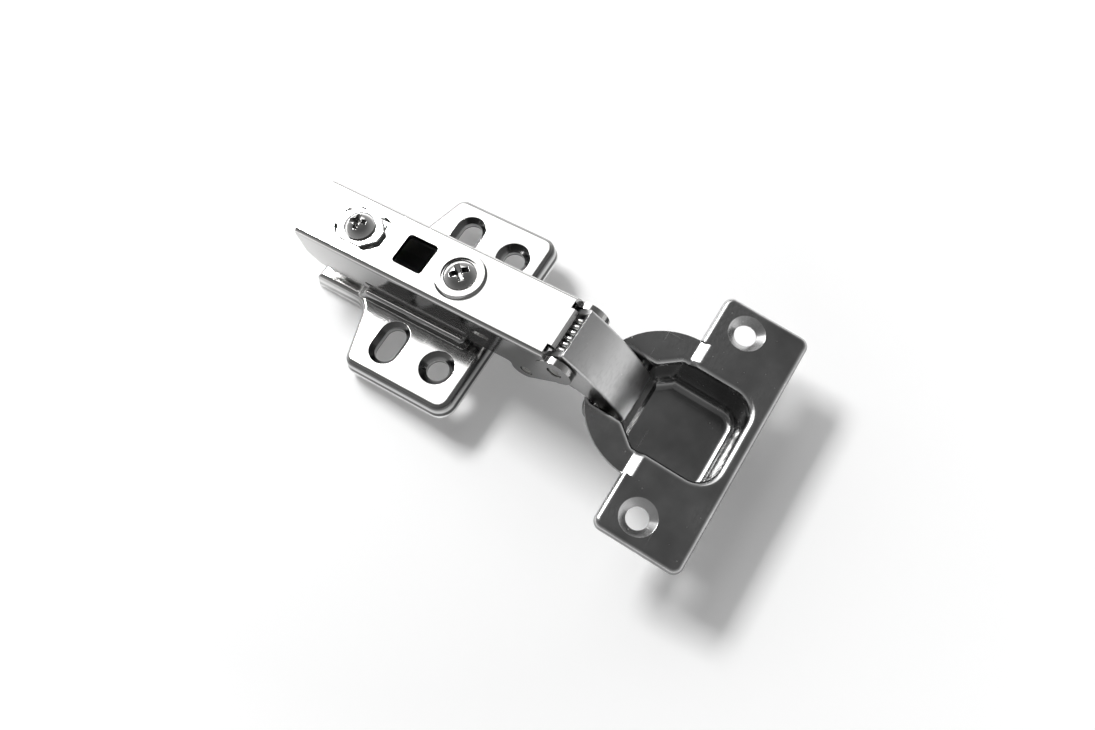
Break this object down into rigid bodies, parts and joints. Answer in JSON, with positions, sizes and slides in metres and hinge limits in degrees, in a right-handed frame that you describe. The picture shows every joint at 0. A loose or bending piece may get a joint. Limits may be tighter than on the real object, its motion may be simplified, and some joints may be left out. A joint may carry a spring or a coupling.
{
  "type": "concealed cup hinge",
  "caption": "Clip-on concealed cabinet hinge: drawn cup with screw flange, twin links, adjustable channel arm and cruciform mounting plate, shown open.",
  "frame": {"origin": "centre of the pair of slotted holes of the mounting plate, on the face that lies on the cabinet side", "axes": "+X from the plate towards the door and the cup, +Y along the cabinet edge, +Z out of the cabinet side"},
  "size_m": [0.1097, 0.0606, 0.0326],
  "materials": {
    "nickel": "bright nickel plate",
    "satin_nickel": "satin nickel plate",
    "cup_nickel": "nickel plate, lightly scratched",
    "zinc": "zinc plate",
    "screw_nickel": "nickel plate",
    "pin_steel": "bright steel",
    "spring_steel": "bright spring wire",
    "sleeve_plastic": "matte"
  },
  "bodies": {
    "base": {"mounting_plate": "nickel", "clip_carrier": "zinc", "front_hook_pin": "zinc", "lever_pin": "zinc", "lever_spring": "spring_steel"},
    "lever": {"release_lever": "zinc"},
    "depth_screw_body": {"depth_screw": "screw_nickel"},
    "clamp": {"serrated_washer": "nickel", "side_screw_collar": "nickel"},
    "side_screw_body": {"side_screw": "screw_nickel"},
    "arm_body": {"arm": "nickel", "front_pin": "pin_steel", "rear_pin": "pin_steel", "spring_sleeve": "sleeve_plastic", "closing_spring": "spring_steel"},
    "outer_link_body": {"outer_link": "satin_nickel"},
    "inner_link_body": {"inner_link": "satin_nickel"},
    "cup_body": {"cup": "cup_nickel", "cup_pin": "pin_steel"}
  },
  "joints": [
    {"name": "arm_tilt", "type": "hinge", "parent": "base", "child": "clamp", "pos_m": [-0.015, 0, 0.0187], "axis": [0, -1, 0], "range_deg": [-0.5, 1.5]},
    {"name": "depth_adjust", "type": "slide", "parent": "clamp", "child": "arm_body", "axis": [1, 0, 0], "range_m": [-0.002, 0]},
    {"name": "side_screw_turn", "type": "hinge", "parent": "clamp", "child": "side_screw_body", "pos_m": [0.0122, 0, 0.0192], "axis": [0, 0, 1], "range_deg": [-110, 325]},
    {"name": "depth_screw_turn", "type": "hinge", "parent": "base", "child": "depth_screw_body", "pos_m": [-0.015, 0, 0.0192], "axis": [0, 0, 1], "range_deg": [0, 720]},
    {"name": "lever_release", "type": "hinge", "parent": "base", "child": "lever", "pos_m": [-0.0225, 0, 0.011], "axis": [0, 1, 0], "range_deg": [0, 12], "stiffness_Nm_per_rad": 0.05, "springref_deg": -17.19, "deforming": ["lever_spring"]},
    {"name": "cup_fold", "type": "hinge", "parent": "outer_link_body", "child": "cup_body", "pos_m": [0.05248, 0, 0.00105], "axis": [0, -1, 0], "range_deg": [0, 139.3]},
    {"name": "outer_link_swing", "type": "hinge", "parent": "arm_body", "child": "outer_link_body", "pos_m": [0.0402, 0, 0.0139], "axis": [0, 1, 0], "range_deg": [0, 36.9], "deforming": ["closing_spring"]},
    {"name": "inner_link_swing", "type": "hinge", "parent": "cup_body", "child": "inner_link_body", "pos_m": [0.04883, 0, 0.00125], "axis": [0, 1, 0], "range_deg": [0, 141.1]}
  ],
  "couplings": [
    {"joint": "outer_link_swing", "follows": "cup_fold", "ratio": 0.2642},
    {"joint": "inner_link_swing", "follows": "cup_fold", "ratio": 1.0122},
    {"joint": "side_screw_turn", "follows": "arm_tilt", "ratio": 213.6}
  ]
}
